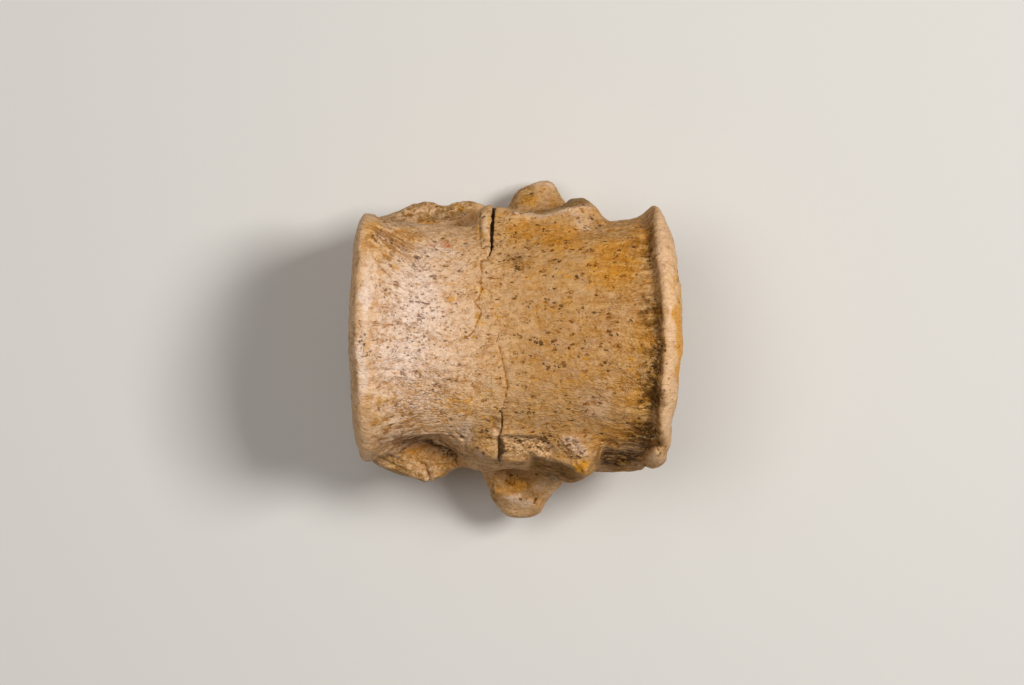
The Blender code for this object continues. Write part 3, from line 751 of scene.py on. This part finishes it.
# %% Where specks crowd, grains show and fibres fan out
crowds = spots(
    (0.2, 7.6, 1.3, 1.0, 30, 0.8), (-0.1, 7.0, 0.6, 0.5, 0, 1.0), (-13.3, 0.6, 0.7, 2.2, 10, 1.0),
    (-12.4, -0.6, 0.7, 1.2, 0, 0.9), (-11.4, 5.2, 1.2, 0.6, -15, 0.8), (-8.3, 7.5, 1.2, 1.2, 0, 0.7),
    (2.6, 4.2, 0.45, 0.55, 0, 1.0), (4.2, 3.3, 0.3, 0.5, 0, 0.9), (2.2, 0.4, 0.9, 0.25, -14, 0.8),
    (4.1, -1.4, 1.0, 0.3, -5, 0.8), (12.2, 0.3, 0.7, 1.6, 0, 1.0), (11.8, -1.6, 0.8, 1.0, 0, 0.9),
    (12.4, -4.0, 0.5, 0.8, 0, 0.9), (11.7, -7.6, 1.0, 1.3, 0, 0.9), (-2.9, -7.2, 0.6, 0.4, 0, 1.0),
    (0.5, -5.7, 1.2, 0.3, -12, 1.0), (2.3, -4.6, 0.6, 0.25, 0, 0.8), (5.8, -5.4, 1.3, 0.3, -8, 0.8),
    (6.6, 11.4, 0.3, 0.9, 10, 0.9), (7.7, 10.8, 0.5, 0.5, -20, 0.9), (7.6, 9.4, 0.4, 0.4, 0, 0.8),
    (9.8, 9.7, 0.4, 0.4, 0, 0.8), (8.8, 10.1, 0.4, 0.2, 0, 0.9), (-8.6, 2.4, 3.6, 3.0, 0, 0.35),
    (-11.6, 9.7, 1.6, 0.4, -12, 0.9), (2.25, 10.1, 0.14, 1.2, 0, 1.0), (0.1, 9.8, 0.5, 0.4, 0, 0.8),
    (-8.4, -1.8, 2.6, 1.6, 0, 0.4), (4.2, 6.6, 0.3, 0.5, 20, 0.8), (7.6, -3.2, 0.4, 0.25, 0, 0.9),
    (8.0, -0.2, 0.3, 0.3, 0, 0.8), (1.8, -8.0, 2.2, 0.4, -3, 0.8), (3.8, -8.6, 1.4, 0.4, -15, 0.5),
    (-0.6, 10.4, 0.4, 1.2, 0, 0.5), (-5.6, 9.7, 0.9, 0.4, 0, 0.6), (5.0, 8.6, 1.4, 0.3, 0, 0.5),
    (-0.7, -11.6, 0.8, 0.6, 0, 0.9), (-10.2, -9.0, 1.8, 0.5, -12, 0.7),
)
granular = spots(
    (-7.5, -4.4, 5.5, 3.4, 0, 1.0), (9.6, -1.0, 3.6, 5.0, 0, 0.6), (4.0, -8.3, 3.2, 1.2, -10, 0.9),
    (-3.2, -8.0, 1.6, 2.4, 0, 0.7), (-10.5, 8.5, 2.5, 2.0, 0, 0.5), (9.5, 7.0, 3.0, 3.0, 0, 0.35),
    (-7.0, -10.0, 4.0, 1.0, -10, 0.7),
)
fanned = spots(
    (-10.8, 9.2, 3.2, 1.7, -15, 1.0), (-10.4, -7.0, 3.2, 2.2, 15, 1.0), (9.4, -8.6, 3.6, 1.8, 5, 1.0),
    (-5.6, -8.2, 2.6, 1.6, -20, 0.7), (9.4, 9.4, 2.6, 1.2, 0, 0.5),
)
holes_in_sponge = spongy * (1 - ease(0.22, 0.46, sponge_cells))
print("crowded vertices:", int((crowds > 0.5).sum()), "and grainy ones:", int((granular > 0.5).sum()))

# %% Where the bone stays plain
near_stub = spot((0.6, -12.9), (3.4, 2.4))
plain = np.maximum.reduce([torn_sheet, 0.7 * on_sheet, 1 - belly, cliff, corner, near_stub, knob])
plain = np.maximum.reduce([plain, 0.9 * rear_lip, 0.8 * front_lip])
print("plain vertices:", int((plain > 0.5).sum()))

# %% Save every mask
SEEN_MASKS = {
    # Pale spots, with the painted highlight on the lip crests.
    "pale_and_highlight": np.maximum(pale_and_highlight, 0.8 * lip_crest_highlight),
    # Brown stains and painted shade, with the painted shadow along the layer's step.
    "brown_and_shade": np.maximum(brown_and_shade, layer_step_shadow) * (1 - knob),
    # Painted shade past the far lip and in the shade spots, and the olive of the torn sheets.
    "olive_stain_and_shade": np.maximum.reduce([1.3 * beyond_lip, olive_stain_and_shade, 0.8 * torn_sheet + 0.6 * on_sheet]),
    "red": red, "mustard": mustard, "orange": orange, "peach": peach, "whiteness": whiteness,
    "crowds": crowds, "granular": granular, "fanned": fanned,
}
ROUND_MASKS = {
    "rear_lip": np.maximum(rear_lip, end_faces * (x > 0)) * (1 - 0.3 * end_faces),
    "front_lip": np.maximum(front_lip, end_faces * (x < 0)) * (1 - 0.3 * end_faces),
    "plain": np.maximum(plain, 0.8 * end_faces),
    "pores": np.maximum(pores, holes_in_sponge),
    "crack": np.maximum(crack, 0.75 * notch),
    "cliff": cliff * ease(0.6, 2.4, seen_x),
    "tan": ease(-4.5, 2.0, seen_x),
    "under": 1 - upward, "left_half": left_half, "network": network, "strands": strands, "fibres": fibres,
    "hairline": hairline, "step_line": step_line, "spongy": spongy, "corner": corner,
    "hollow_fine": hollow_fine, "hollow_wide": hollow_wide,
}
for mask_name, values in SEEN_MASKS.items():
    keep(mask_name, values * facing)
for mask_name, values in ROUND_MASKS.items():
    keep(mask_name, values)
fibre_place = bone.data.attributes.new("fibre_place", "FLOAT_VECTOR", "POINT")
fibre_place.data.foreach_set("vector", np.ascontiguousarray(fan, dtype=np.float32).ravel())
print("attributes:", len(SEEN_MASKS) + len(ROUND_MASKS) + 1)

# %% [markdown]
# ## Shader sums
#
# Fossil bone is matt with a faint sheen, and its colour comes in many thin layers. They could be wired by
# hand in the node editor, but that takes hundreds of links. So a small class wraps a socket, and Python's
# own sums then add Math nodes. Every other node comes from the class's one method, which takes the node's
# type, its settings and what goes into its sockets.

# %% A socket that can be used in a sum
class Wire:
    """A shader socket in Python arithmetic. Each operation adds one Math node."""

    def __init__(self, tree, socket):
        self.tree, self.socket = tree, socket

    def node(self, kind, settings, sockets, out=0):
        """Any node: its settings are set first, then the values or links of its sockets."""
        made = self.tree.nodes.new(kind)
        for name, value in settings.items():
            setattr(made, name, value)
        for name, value in sockets.items():
            plug(value, made.inputs[name])
        return Wire(self.tree, made.outputs[out])

    def output(self, name):
        """Another output of the same node."""
        return Wire(self.tree, self.socket.node.outputs[name])

    def math(self, operation, *values):
        return self.node("ShaderNodeMath", {"operation": operation}, dict(enumerate(values)))

    def __add__(self, other):
        return self.math("ADD", self, other)

    def __sub__(self, other):
        return self.math("SUBTRACT", self, other)

    def __rsub__(self, other):
        return self.math("SUBTRACT", other, self)

    def __mul__(self, other):
        return self.math("MULTIPLY", self, other)

    def __lt__(self, other):
        return self.math("LESS_THAN", self, other)

    def __abs__(self):
        return self.math("ABSOLUTE", self)

    def step(self, low, high):
        """0 below low, 1 above high, and smooth between."""
        settings = {"interpolation_type": "SMOOTHSTEP"}
        return self.node("ShaderNodeMapRange", settings, {"Value": self, "From Min": low, "From Max": high})

    __radd__ = __add__
    __rmul__ = __mul__


def plug(value, slot):
    """Links a wire to a socket, or sets the socket to a plain value."""
    if isinstance(value, Wire):
        value.tree.links.new(value.socket, slot)
    else:
        slot.default_value = value


def mix(share, under_colour, over_colour, blend="MIX"):
    """One colour laid over another. A share of 1 covers it."""
    settings = {"data_type": "RGBA", "blend_type": blend, "clamp_factor": True}
    return share.node("ShaderNodeMix", settings, {0: share, 6: under_colour, 7: over_colour}, 2)


print("things a wire can do:", sum(callable(value) for value in vars(Wire).values()))

# %% [markdown]
# ## Patterns
#
# Noise gives the blotches and grit, and a Voronoi pattern gives grains and specks. Patterns that follow
# the bone read the fibre coordinates, which were saved as an attribute. Those are pushed about by a
# little noise, because round cells look drawn. Image textures could show real bone, but they would need a
# photograph and would stretch on the rims.

# %% Coordinates, clouds, cells and dots
PER_MM = 1 / MM
bone_paint = bpy.data.materials.new("fossil_bone")
bone_paint.use_nodes = True
bone_nodes = bone_paint.node_tree.nodes
start = Wire(bone_paint.node_tree, None)


def mask(name):
    return start.node("ShaderNodeAttribute", {"attribute_name": name}, {}, "Fac")


def scaled(source, scale):
    return start.node("ShaderNodeVectorMath", {"operation": "MULTIPLY"}, {0: source, 1: scale})


def cloud(source, scale, detail=3.0, roughness=0.6, out="Fac"):
    """Noise with this many lumps for each millimetre, along each axis."""
    sockets = {"Vector": scaled(source, scale), "Scale": 1.0, "Detail": detail, "Roughness": roughness}
    return start.node("ShaderNodeTexNoise", {}, sockets, out)


def warped(source, scale, amount):
    """The coordinates pushed about by noise, so that round cells become irregular."""
    push = cloud(source, scale, 2.0, 0.5, "Color")
    sockets = {0: push, 1: (amount,) * 3, 2: source}
    return start.node("ShaderNodeVectorMath", {"operation": "MULTIPLY_ADD"}, sockets)


def cell_borders(source, scale):
    """How far each place is from the border between two cells, in cells."""
    sockets = {"Vector": scaled(source, scale), "Scale": 1.0}
    return start.node("ShaderNodeTexVoronoi", {"feature": "DISTANCE_TO_EDGE"}, sockets, "Distance")


def dots(source, scale, size, density):
    """Irregular dots of random size. The density is the share of the cells that have one."""
    sockets = {"Vector": scaled(source, scale), "Scale": 1.0}
    distance = start.node("ShaderNodeTexVoronoi", {}, sockets, "Distance")
    chance = start.node("ShaderNodeSeparateColor", {}, {0: distance.output("Color")})
    from_rim = (distance + uneven_rims) - chance.output(1) * size * 0.6
    return (1 - from_rim.step(size * 0.35, size * 0.6)) * (chance < density)


in_mm = scaled(start.node("ShaderNodeTexCoord", {}, {}, "Object"), (PER_MM,) * 3)
along_fibres = start.node("ShaderNodeAttribute", {"attribute_name": "fibre_place"}, {}, "Vector")
uneven_rims = cloud(in_mm, (6.0,) * 3, 2.0, 0.6) * 0.9 - 0.45
print("nodes for the coordinates:", len(bone_nodes))

# %% Noises that several layers share
broad = cloud(in_mm, (0.3,) * 3)
blotch = cloud(in_mm, (0.9,) * 3, 4.0, 0.65)
mid_grit = cloud(in_mm, (1.7,) * 3, 3.0, 0.65)
grit = cloud(in_mm, (3.6,) * 3, 3.0, 0.7)
bent = warped(along_fibres, (1.4,) * 3, 0.5)
bent_fine = warped(along_fibres, (4.0,) * 3, 0.22)
streak = cloud(bent, (0.45, 1.8, 0.7), 4.0, 0.7)
fine_streak = cloud(bent_fine, (2.2, 4.8, 2.4), 3.0, 0.65)
threads = 1 - abs(cloud(bent, (0.8, 1.9, 1.0), 2.0, 0.5) - 0.5).step(0.015, 0.07)
print("nodes with the shared noises:", len(bone_nodes))

# %% Colours of fossil bone
def srgb(red, green, blue):
    """A colour as a picture program shows it, 0 to 255, in the linear light that shaders use."""
    return tuple(((c / 255 + 0.055) / 1.055) ** 2.4 for c in (red, green, blue)) + (1.0,)


CREAM, SAND = srgb(250, 224, 206), srgb(222, 178, 122)
PEACH, SHELL = srgb(236, 190, 140), srgb(240, 198, 156)
GROUND, TAN, MUSTARD = srgb(220, 168, 106), srgb(190, 142, 88), srgb(202, 134, 36)
ORANGE, RUST, RED = srgb(214, 148, 40), srgb(160, 100, 24), srgb(196, 96, 40)
BROWN, DIRT, ROSE = srgb(108, 70, 22), srgb(74, 46, 12), srgb(196, 154, 118)
PLUM, BLACK, OLIVE = srgb(136, 98, 82), srgb(62, 38, 14), srgb(120, 88, 28)
# A thin stain lets this share of the red, green and blue through.
GOLD_TINT, ORANGE_TINT = (1.1, 1.0, 0.55, 1), (1.06, 0.97, 0.5, 1)
light = mix(mask("whiteness"), SAND, CREAM)
print("cream in linear light:", [round(c, 2) for c in CREAM[:3]])

# %% [markdown]
# ## The ground colour
#
# Under its stains the bone is cream towards the head end and tan towards the tail end. The rims have a
# smoother skin, in shell and peach tones. One gradient could join the two halves, but the real change is
# patchy, so blotches move its border.

# %% Cream, tan, shell and peach
colour = mix(mask("tan"), GROUND, TAN)
colour = mix(mask("whiteness") * 0.55, colour, CREAM)
colour = mix(blotch.step(0.44, 0.66) * 0.45, colour, MUSTARD)
colour = mix((1 - blotch.step(0.34, 0.5)) * mask("tan") * 0.7, colour, ROSE)
colour = mix(broad.step(0.4, 0.62) * 0.3, colour, light)
# Cream over the pale patches and over the painted highlights.
colour = mix((mask("pale_and_highlight") + blotch * 1.3 - 0.8).step(0.0, 1.0) * 0.9, colour, CREAM)
colour = mix(mask("rear_lip") * (broad * 0.5 + 0.65), colour, SHELL)
colour = mix(mask("front_lip") * (broad * 0.8 + 0.4), colour, mix(mask("pale_and_highlight"), PEACH, CREAM))
colour = mix(mask("under") * 0.5, colour, GROUND)
colour = mix(mask("peach") * 0.8, colour, PEACH)
print("nodes after the ground colour:", len(bone_nodes))

# %% [markdown]
# ## Stains, and streaks over them
#
# Minerals from the ground soaked into the bone and left mustard, orange, olive and brown patches. The olive
# and brown masks also carry painted shade. In the real bone the fibres still show through them, light and
# rusty. So the stains are laid first and the fine streaks and grit go over them. The other way round, a
# stain looks like paint.

# %% Stains with ragged borders
uneven = blotch * 1.3 + grit * 0.6 - 0.9
# The brown and olive layers lay painted shade as well as stains.
stains = (("mustard", MUSTARD, 0.75), ("orange", ORANGE, 0.7), ("olive_stain_and_shade", OLIVE, 0.75), ("brown_and_shade", BROWN, 0.5))
for name, stain, share in stains:
    colour = mix((mask(name) * 1.1 + uneven).step(0.0, 1.1) * share, colour, stain)
print("nodes after the stains:", len(bone_nodes))

# %% Streaks along the fibres
fibrous = (mask("strands") * 0.8 + 0.15) * (1 - mask("plain") * 0.8)
colour = mix(fibrous * streak.step(0.48, 0.62) * 0.75, colour, RUST)
colour = mix(fibrous * (1 - streak.step(0.36, 0.46)) * 0.6, colour, light)
colour = mix(fibrous * fine_streak.step(0.5, 0.68) * 0.45, colour, RUST)
colour = mix(fibrous * (1 - fine_streak.step(0.34, 0.46)) * 0.45, colour, light)
colour = mix(mask("fibres").step(0.25, 1.0) * 0.25, colour, light)
colour = mix(threads * (mask("network") * 0.45 + 0.1), colour, light)
print("nodes after the streaks:", len(bone_nodes))

# %% Grit
lips = mask("rear_lip") + mask("front_lip")
mottled = (1 - lips * 0.6) * (1 - mask("tan") * 0.4) * (1 - mask("whiteness") * 0.5)
colour = mix(mottled * grit.step(0.5, 0.68) * 0.5, colour, BROWN)
colour = mix(mottled * (1 - grit.step(0.32, 0.47)) * 0.4, colour, light)
colour = mix(mottled * mid_grit.step(0.48, 0.62) * 0.45, colour, RUST)
colour = mix(mottled * (1 - mid_grit.step(0.36, 0.5)) * 0.45, colour, light)
colour = mix(mask("corner") * (grit * 1.5 - 0.1), colour, ORANGE)
print("nodes after the grit:", len(bone_nodes))

# %% [markdown]
# ## Grains, fans and thin tints
#
# Worn bone shows its grains: pale crumbs with rusty gaps between them. The borders of Voronoi cells make
# such a net, once the cells are drawn out and bent. Towards the corners the fibres fan out in dark and
# light streaks. Last, a thin golden or orange tint is multiplied over the stained patches, so that what
# lies in them is tinted as well.

# %% Net of grains
gaps = 1 - cell_borders(bent, (1.5, 2.9, 2.2)).step(0.04, 0.2)
fine_gaps = 1 - cell_borders(bent_fine, (2.8, 4.6, 3.6)).step(0.04, 0.22)
net = (gaps + fine_gaps * 0.6) * mask("granular") * (blotch * 1.6 - 0.1)
colour = mix(net * 0.5, colour, mix(grit.step(0.4, 0.6), ORANGE, RUST))
grains = (1 - fine_gaps) * (1 - gaps) * mask("granular") * grit.step(0.42, 0.6)
colour = mix(grains * 0.75, colour, light)
orange_dots = dots(bent, (1.5, 2.6, 2.0), 0.5, mask("orange") * 0.55 + 0.09 - mask("plain") * 0.1)
colour = mix(orange_dots * 0.55, colour, ORANGE)
print("nodes after the grains:", len(bone_nodes))

# %% Fans and tints
colour = mix(mask("fanned") * streak.step(0.5, 0.56) * 0.65, colour, mix(mask("left_half"), BROWN, RUST))
colour = mix(mask("fanned") * (1 - streak.step(0.4, 0.46)) * 0.6, colour, light)
colour = mix(mask("mustard") * (blotch * 0.6 + 0.4), colour, GOLD_TINT, "MULTIPLY")
colour = mix(mask("orange") * (blotch * 0.6 + 0.1), colour, ORANGE_TINT, "MULTIPLY")
print("nodes after the fans:", len(bone_nodes))

# %% [markdown]
# ## Dirt, hollows and edges
#
# Dark sediment clots in the groove and behind the platform. The broken cliff is bare bone, and its dark
# rust, olive and black are partly its own colour and partly painted shade. Dirt fills the fine hollows, and
# the wide hollows are darkened with dirt and painted shade. Edges are rubbed pale. The two hollow masks
# place this, so the darkening lies where the carving is deep.

# %% Clots, cliff with painted shade, and sponge
# Clots and dark lines follow the brown mask, which holds stains and painted shade.
clots = (mask("brown_and_shade") * 0.6 + mid_grit * 1.3 + grit * 1.3 - 1.76).step(0.0, 0.25)
dark_lines = mask("brown_and_shade") * fibrous * streak.step(0.46, 0.54)
colour = mix(clots * 0.8, colour, DIRT)
colour = mix(dark_lines * 0.7, colour, DIRT)
# The cliff's rust, olive and black are partly its own colour and partly painted shade.
colour = mix(mask("cliff") * 0.6, colour, RUST)
colour = mix(mask("cliff") * blotch.step(0.36, 0.56) * 0.7, colour, OLIVE)
colour = mix(mask("cliff") * mid_grit.step(0.53, 0.62) * 0.7, colour, BLACK)
colour = mix(mask("spongy") * (1 - grit.step(0.42, 0.56)) * 0.8, colour, SHELL)
colour = mix(mask("red") * grit.step(0.35, 0.5) * 0.8, colour, RED)
print("nodes after the dirt:", len(bone_nodes))

# %% Hollows with dirt and painted shade, and edges
# Wide hollows darken with dirt and painted shade, fine ones with dirt.
colour = mix(mask("hollow_wide").step(0.08, 0.8) * 0.8, colour, DIRT)
colour = mix(mask("hollow_fine").step(0.012, 0.07) * 0.75, colour, BROWN)
rubbed = (mask("hollow_fine") * -1.0).step(0.012, 0.06) * (1 - mask("cliff") * 0.7)
colour = mix(rubbed * 0.4, colour, light)
print("nodes after the hollows:", len(bone_nodes))

# %% [markdown]
# ## Specks and cracks
#
# Dark minerals filled the pores as small specks. They stand in crowds and are plum on the pale half and
# nearly black on the tan half. Even dots would look printed, so noise sets how many there are and a
# random number sets the size of each. The cracks come last of all, because dirt fills them.

# %% Rusty dots, dark specks and filled pores
clusters = cloud(in_mm, (1.4, 1.7, 1.7), 2.0, 0.5).step(0.59, 0.65)
density = mask("crowds") * 0.75 + mask("left_half") * 0.02 - mask("plain") * 0.25
large_specks = dots(bent_fine, (2.2, 2.9, 2.6), 0.44, density + 0.03)
small_specks = dots(bent_fine, (4.2, 5.4, 4.8), 0.46, density + clusters * 0.65)
rusty_dots = dots(bent_fine, (1.5, 2.6, 2.2), 0.5, mask("tan") * 0.14 - mask("plain") * 0.2)
speck_colour = mix((mask("whiteness") * -0.4 + blotch).step(0.2, 0.45), PLUM, BLACK)
filled_pores = (mask("pores") + grit * 0.5 - 0.25).step(0.35, 0.6)
colour = mix(rusty_dots * 0.7, colour, RUST)
colour = mix(rusty_dots.step(0.6, 1.0) * grit.step(0.5, 0.6) * 0.8, colour, DIRT)
colour = mix(filled_pores * 0.65, colour, speck_colour)
colour = mix(large_specks * 0.75, colour, speck_colour)
colour = mix(small_specks * 0.6, colour, speck_colour)
print("nodes after the specks:", len(bone_nodes))

# %% Cracks
colour = mix((mask("hairline") * (blotch * 2.4 - 0.4) - 0.1).step(0.2, 0.7) * 0.85, colour, RUST)
colour = mix(mask("step_line") * 0.5, colour, RUST)
colour = mix((mask("crack") + grit * 0.3 - 0.15).step(0.3, 0.7) * 0.9, colour, DIRT)
print("nodes after the cracks:", len(bone_nodes))

# %% [markdown]
# ## Sheen and fine relief
#
# The rims are dense and worn smooth, so they have a faint coat, while dirt and the cliff are quite matt.
# What is finer than the net of the mesh is left to a bump: grit, thin fibres and the rims of the specks.
# All larger relief is real.

# %% Roughness, coat and bump
BUMP_DEPTH = 0.13 * MM
bone_shader = bone_nodes["Principled BSDF"]
bone_shader.inputs["Specular IOR Level"].default_value = 0.16
bone_shader.inputs["Coat Roughness"].default_value = 0.28
fine_relief = grit * 0.8 + fine_streak * 0.25 - large_specks * 0.5 - small_specks * 0.4
fine_relief = fine_relief + threads * 0.3 - net * 0.6
bump = start.node("ShaderNodeBump", {}, {"Height": fine_relief, "Strength": 0.9, "Distance": BUMP_DEPTH})
plug(colour, bone_shader.inputs["Base Color"])
plug(0.48 + grit * 0.3 + mask("brown_and_shade") * 0.15 + mask("cliff") * 0.3, bone_shader.inputs["Roughness"])
plug((lips + mask("peach")) * 0.12, bone_shader.inputs["Coat Weight"])
plug(bump, bone_shader.inputs["Normal"])
bone.data.materials.append(bone_paint)
print("nodes in the material:", len(bone_nodes))

# %% [markdown]
# ## Thin the net
#
# The carved skin has far more faces than it needs where it is even, and most of all on the side that lies
# towards the floor. A second remesh would blur the carving. A decimate modifier takes out the faces that
# matter least. It is run first on that lower side alone and then on everything. It may push a vertex past
# the solid by a hair, so every vertex is then brought back inside the solid's box.

# %% Fewer faces where they aren't seen
TRIANGLES = 190000
HIDDEN_KEPT = 0.3
LOW = 5.0  # what lies below this height, in mm, counts as hidden
hidden = np.nonzero((normal[:, 2] < -0.1) | (place[:, 2] < LOW))[0]
bone.vertex_groups.new(name="hidden").add(hidden.tolist(), 1.0, "REPLACE")
full = 2 * len(bone.data.polygons)
after_hidden = full * (1 - (1 - HIDDEN_KEPT) * len(hidden) / len(place))
for group, ratio in (("hidden", after_hidden / full), ("", TRIANGLES / after_hidden)):
    thinner = bone.modifiers.new("thinner", "DECIMATE")
    thinner.vertex_group = group
    thinner.ratio = ratio
applied(bone)
bone.vertex_groups.clear()
inside = np.clip(read_vertices("co"), cad_low, cad_high)
bone.data.vertices.foreach_set("co", inside.ravel())
bone.data.update()
print("triangles:", sum(len(p.vertices) - 2 for p in bone.data.polygons))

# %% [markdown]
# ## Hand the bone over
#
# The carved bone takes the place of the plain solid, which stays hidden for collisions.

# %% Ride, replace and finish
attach(bone, "root")
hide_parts("vertebra")
